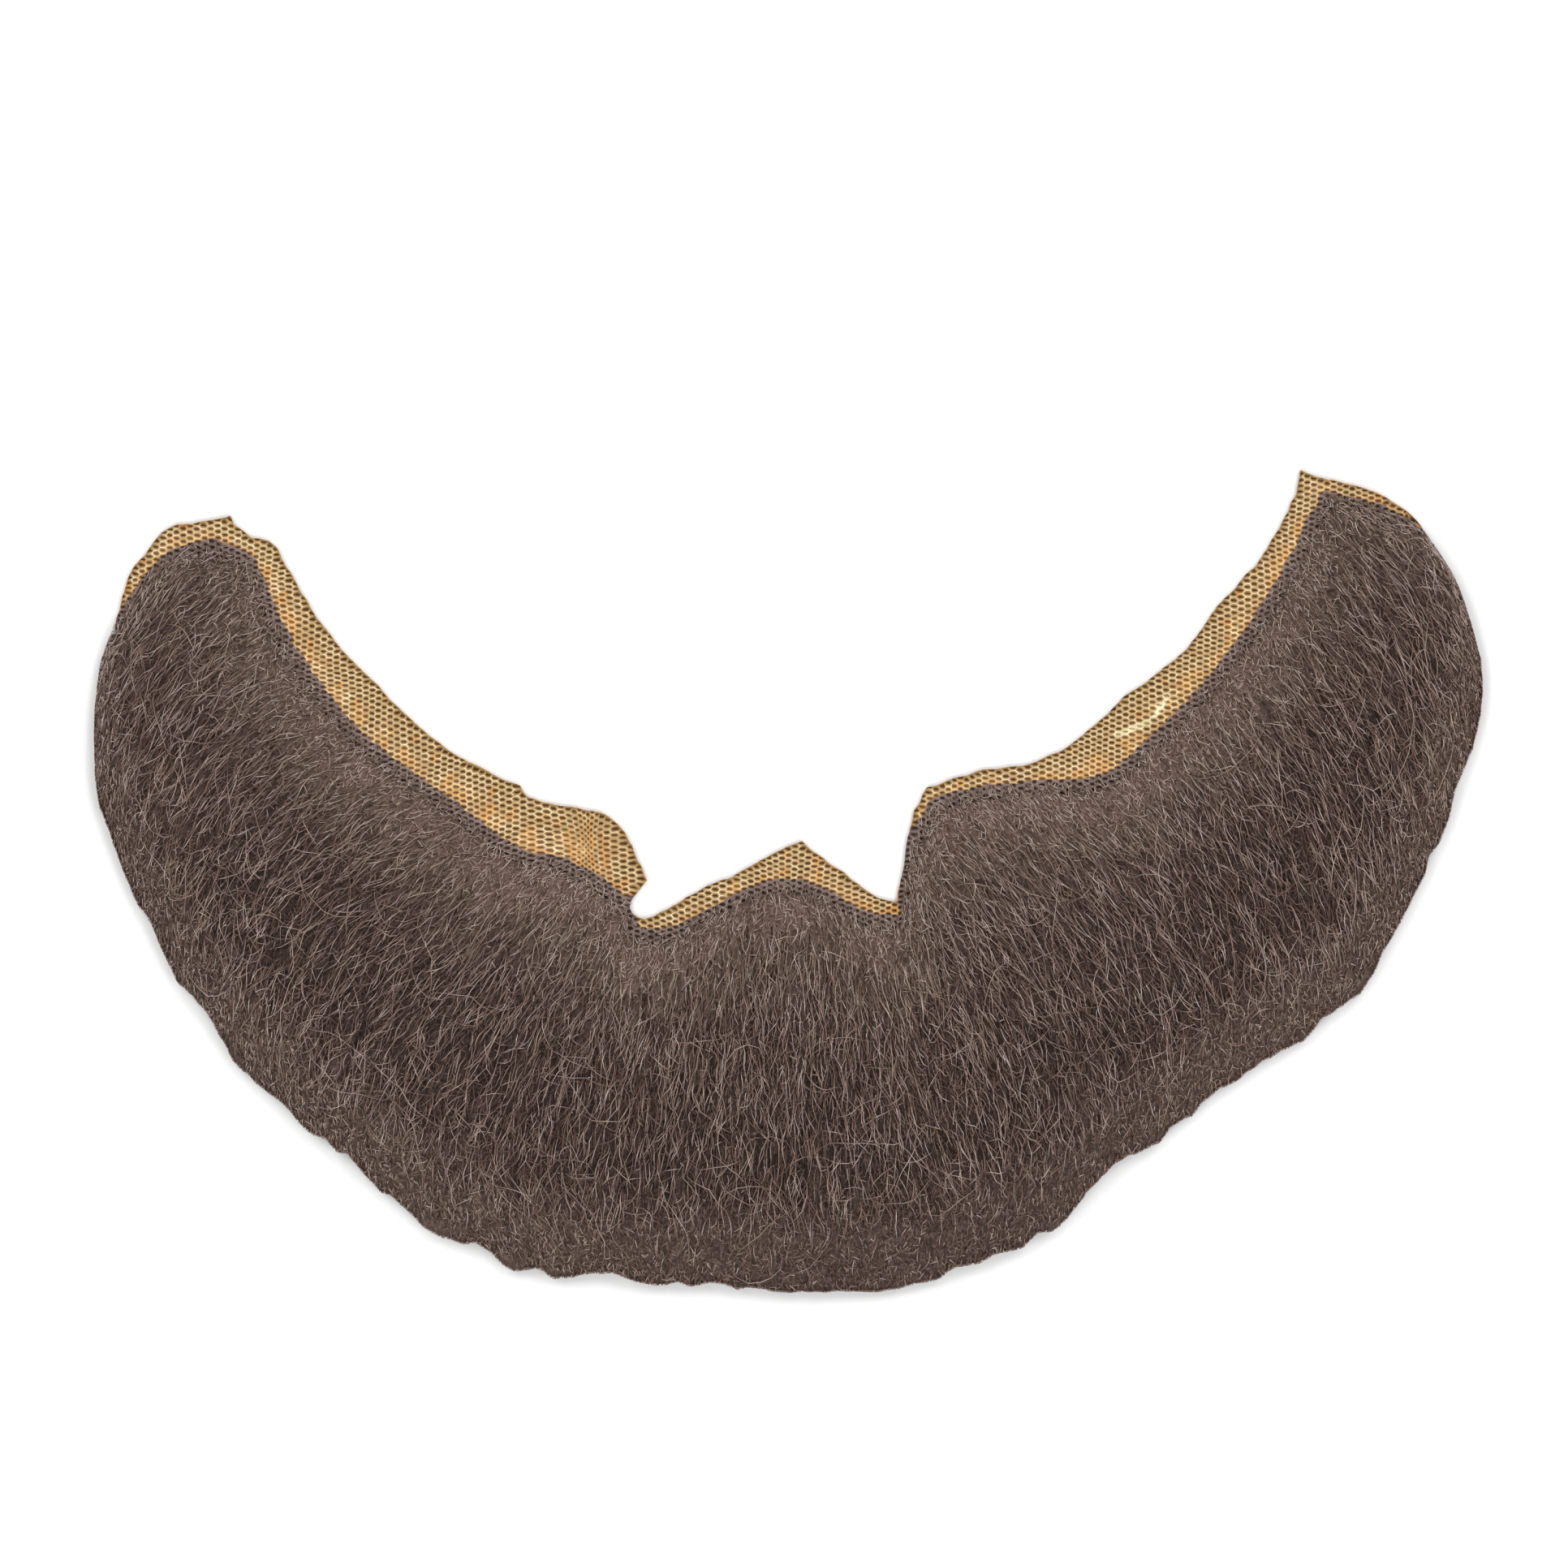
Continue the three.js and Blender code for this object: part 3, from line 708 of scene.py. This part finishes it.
# Painted light and shade from coat_shade, with deeper hairs painted darker as shade.
tone = 0.615 + 0.17 * coat_shade(arc, share) - 0.12 * layer + 0.095 * matted
tone = np.clip(tone + hair_dice.normal(0, 0.2, FELT_HAIRS), 0.04, 0.96)
knot_in("hair_felt", arc, path, radius, tone)


# Cut ends: the blunt ends of the hair where the scissors trimmed it, which hang down over the outer edge at
# all heights. They are the same hair, knotted to the net.

CUT_ENDS = 6000
arc = hair_dice.uniform(3, ARC_END - 3, CUT_ENDS)
run = hair_dice.uniform(0.25, 0.5, CUT_ENDS)
turn = hair_dice.normal(0, np.radians(35), CUT_ENDS)
straight = np.zeros(CUT_ENDS)
wave = np.ones(CUT_ENDS)
limit = coat_limit(arc)
share = limit - run / hair_length(place_at(arc))
layer = hair_dice.random(CUT_ENDS) * (coat_top(arc, limit) - 0.3)
sink = -np.minimum(layer, hair_dice.uniform(0.6, 1.5, CUT_ENDS))
spare = hair_dice.uniform(-0.1, 0.1, CUT_ENDS)
path = strand_paths(arc, share, run, turn, straight, straight, wave, layer, sink, spare, rings=2)
radius = STRAND_RADIUS * hair_dice.uniform(1, 1.7, CUT_ENDS)
# Cut ends lower on the edge are painted darker as shade.
tone = np.clip(0.62 - 0.03 * layer + hair_dice.normal(0, 0.18, CUT_ENDS), 0.04, 0.98)
knot_in("hair_ends", arc, path, radius, tone)


# Combed hair: the body of the coat between the felted edges, crimped hair knotted to the net and combed
# outwards. More of it lies loose further out.

COMBED_HAIRS = 17500


def loosened(arc, share, few, more, start):
    """Which hairs have come loose, by chance: few up to a share of the hair's length, the start, and more
    and more over the next 0.3 of it, though not so many under the chin."""
    chance = few + more * np.clip((share - start) / 0.3, 0, 1) * (1 - 0.7 * under_chin(arc))
    return hair_dice.random(len(arc)) < chance


def strand_size(arc, share):
    """Size of a hair as a share of the largest: less on hair shorter than 60 mm, and half where it felts."""
    return np.clip(hair_length(place_at(arc)) / 60, 0.6, 1) * (1 - 0.5 * felted(arc, share))


arc, share = scatter(COMBED_HAIRS, 1.15 - cell_felt)
loose = loosened(arc, share, few=0.05, more=0.4, start=0.45)
size = strand_size(arc, share)
run = hair_dice.uniform(2.5, 7, COMBED_HAIRS) * size
turn = hair_dice.normal(0, 1, COMBED_HAIRS) * np.radians(np.where(loose, 45, 15))
curl = hair_dice.normal(0, 1, COMBED_HAIRS) * np.radians(np.where(loose, 50, 20))
crimp = hair_dice.uniform(0.1, 0.35, COMBED_HAIRS)
layer = hair_dice.random(COMBED_HAIRS)
wave = hair_dice.uniform(4, 8, COMBED_HAIRS)
sink = hair_dice.uniform(0.3, 0.8, COMBED_HAIRS) * size
spare = hair_dice.uniform(0, 4, COMBED_HAIRS)
path = strand_paths(arc, share, run, turn, curl, crimp, wave, layer, sink, spare, rings=3)
radius = STRAND_RADIUS * hair_dice.uniform(0.55, 0.9, COMBED_HAIRS)
# Painted light and shade from coat_shade, with deeper hairs painted darker as shade.
tone = 0.565 + 0.18 * coat_shade(arc, share + 0.04) - 0.2 * layer
tone = np.clip(tone + hair_dice.normal(0, 0.225, COMBED_HAIRS), 0.02, 0.96)
knot_in("hair_combed", arc, path, radius, tone)


# Long hairs: thin, shiny, crimped hairs that lie over the combed hair, knotted to the net between it. More
# of them are loose further out.

LONG_HAIRS = 6000
arc, share = scatter(LONG_HAIRS, 1.13 - cell_felt)
loose = loosened(arc, share, few=0.1, more=0.5, start=0.4)
size = strand_size(arc, share)
run = hair_dice.uniform(4, 13, LONG_HAIRS) * size
turn = hair_dice.normal(0, 1, LONG_HAIRS) * np.radians(np.where(loose, 45, 12))
curl = hair_dice.normal(0, 1, LONG_HAIRS) * np.radians(np.where(loose, 80, 16))
crimp = hair_dice.uniform(0.08, 0.32, LONG_HAIRS)
wave = hair_dice.uniform(5, 11, LONG_HAIRS)
layer = hair_dice.uniform(-0.1, 0.3, LONG_HAIRS)
sink = hair_dice.uniform(0.2, 0.7, LONG_HAIRS) * size
spare = hair_dice.uniform(1, 12, LONG_HAIRS)
path = strand_paths(arc, share, run, turn, curl, crimp, wave, layer, sink, spare, rings=5)
radius = STRAND_RADIUS * hair_dice.uniform(0.42, 0.72, LONG_HAIRS)
# Painted light: partly the long hairs' own paler colour, partly painted highlight.
tone = 0.935 + 0.04 * coat_shade(arc, share + 0.08)
tone = np.clip(tone + hair_dice.normal(0, 0.15, LONG_HAIRS), 0.3, 0.98)
knot_in("hair_long", arc, path, radius, tone)


# Stray hairs: a few long curls of the same hair that the comb has pulled loose. They lie across the rest,
# and their roots are still knotted to the net.

STRAY_HAIRS = 150
arc, share = scatter(STRAY_HAIRS, np.clip(4 * cell_share - 0.6, 0, 1) * (cell_share < 0.9))
size = np.clip(hair_length(place_at(arc)) / 60, 0.5, 1)
run = hair_dice.uniform(8, 26, STRAY_HAIRS) * size
turn = hair_dice.normal(0, np.radians(60), STRAY_HAIRS)
curl = hair_dice.normal(0, np.radians(110), STRAY_HAIRS)
crimp = hair_dice.uniform(0.05, 0.25, STRAY_HAIRS)
wave = hair_dice.uniform(6, 12, STRAY_HAIRS)
layer = hair_dice.uniform(-0.3, 0, STRAY_HAIRS)
sink = hair_dice.uniform(0, 0.3, STRAY_HAIRS)
spare = hair_dice.uniform(1, 6, STRAY_HAIRS)
path = strand_paths(arc, share, run, turn, curl, crimp, wave, layer, sink, spare, rings=9)
radius = STRAND_RADIUS * hair_dice.uniform(0.45, 0.65, STRAY_HAIRS)
tone = hair_dice.uniform(0.88, 0.98, STRAY_HAIRS)
knot_in("hair_stray", arc, path, radius, tone)


# Studio: the beard lies on a plain white table under four large soft lights, low enough all round to leave
# the meshes of the net dark, and the camera looks straight down on it.

TABLE_TOP = -0.00005  # m
table_corners = [(x, y, TABLE_TOP) for x, y in ((-3, -3), (3, -3), (3, 3), (-3, 3))]
table_mesh = bpy.data.meshes.new("table")
table_mesh.from_pydata(table_corners, [], [(0, 1, 2, 3)])
table = bpy.data.objects.new("table", table_mesh)
bpy.context.collection.objects.link(table)
table_finish = bpy.data.materials.new("white_table")
table_finish.use_nodes = True
table_shader = table_finish.node_tree.nodes["Principled BSDF"]
table_shader.inputs["Base Color"].default_value = shade(0.92)
table_shader.inputs["Roughness"].default_value = 0.8
table_mesh.materials.append(table_finish)

LAMPS = ((50, 20), (140, 18), (230, 18), (320, 18))  # degrees round the beard, and watts
LAMP_SIZE = 1.3  # m
LAMP_REACH = 1.45  # m, from over the beard outwards
LAMP_HEIGHT = 1.4  # m
LAMP_TILT = 46  # degrees off straight down
for lamp_number, (degrees, power) in enumerate(LAMPS):
    lamp_data = bpy.data.lights.new(f"softbox_{lamp_number}", "AREA")
    lamp_data.shape = "SQUARE"
    lamp_data.size = LAMP_SIZE
    lamp_data.energy = power
    lamp = bpy.data.objects.new(f"softbox_{lamp_number}", lamp_data)
    bpy.context.collection.objects.link(lamp)
    bearing = np.radians(degrees)
    lamp.location = (LAMP_REACH * np.cos(bearing), LAMP_REACH * np.sin(bearing), LAMP_HEIGHT)
    lamp.rotation_euler = (np.radians(LAMP_TILT), 0, bearing + np.pi / 2)
    lamp.visible_camera = False

world = bpy.data.worlds.new("studio_air")
world.use_nodes = True
air = world.node_tree.nodes["Background"]
air.inputs["Color"].default_value = shade(1)
air.inputs["Strength"].default_value = 0.15
bpy.context.scene.world = world
bpy.context.scene.view_settings.view_transform = "Standard"

SENSOR_WIDTH = 36  # mm
HAIR_HEIGHT = 0.007  # m, of most of the hair
CAMERA_DISTANCE = 2.5  # m, above that height
FRAME_WIDTH = 0.3381  # m, across the picture at that height
camera_data = bpy.data.cameras.new("overhead")
camera_data.sensor_width = SENSOR_WIDTH
camera_data.lens = SENSOR_WIDTH * CAMERA_DISTANCE / FRAME_WIDTH
camera_data.clip_end = 20
camera = bpy.data.objects.new("overhead", camera_data)
camera.location = (-0.00096, 0.0214, HAIR_HEIGHT + CAMERA_DISTANCE)
bpy.context.collection.objects.link(camera)
bpy.context.scene.camera = camera
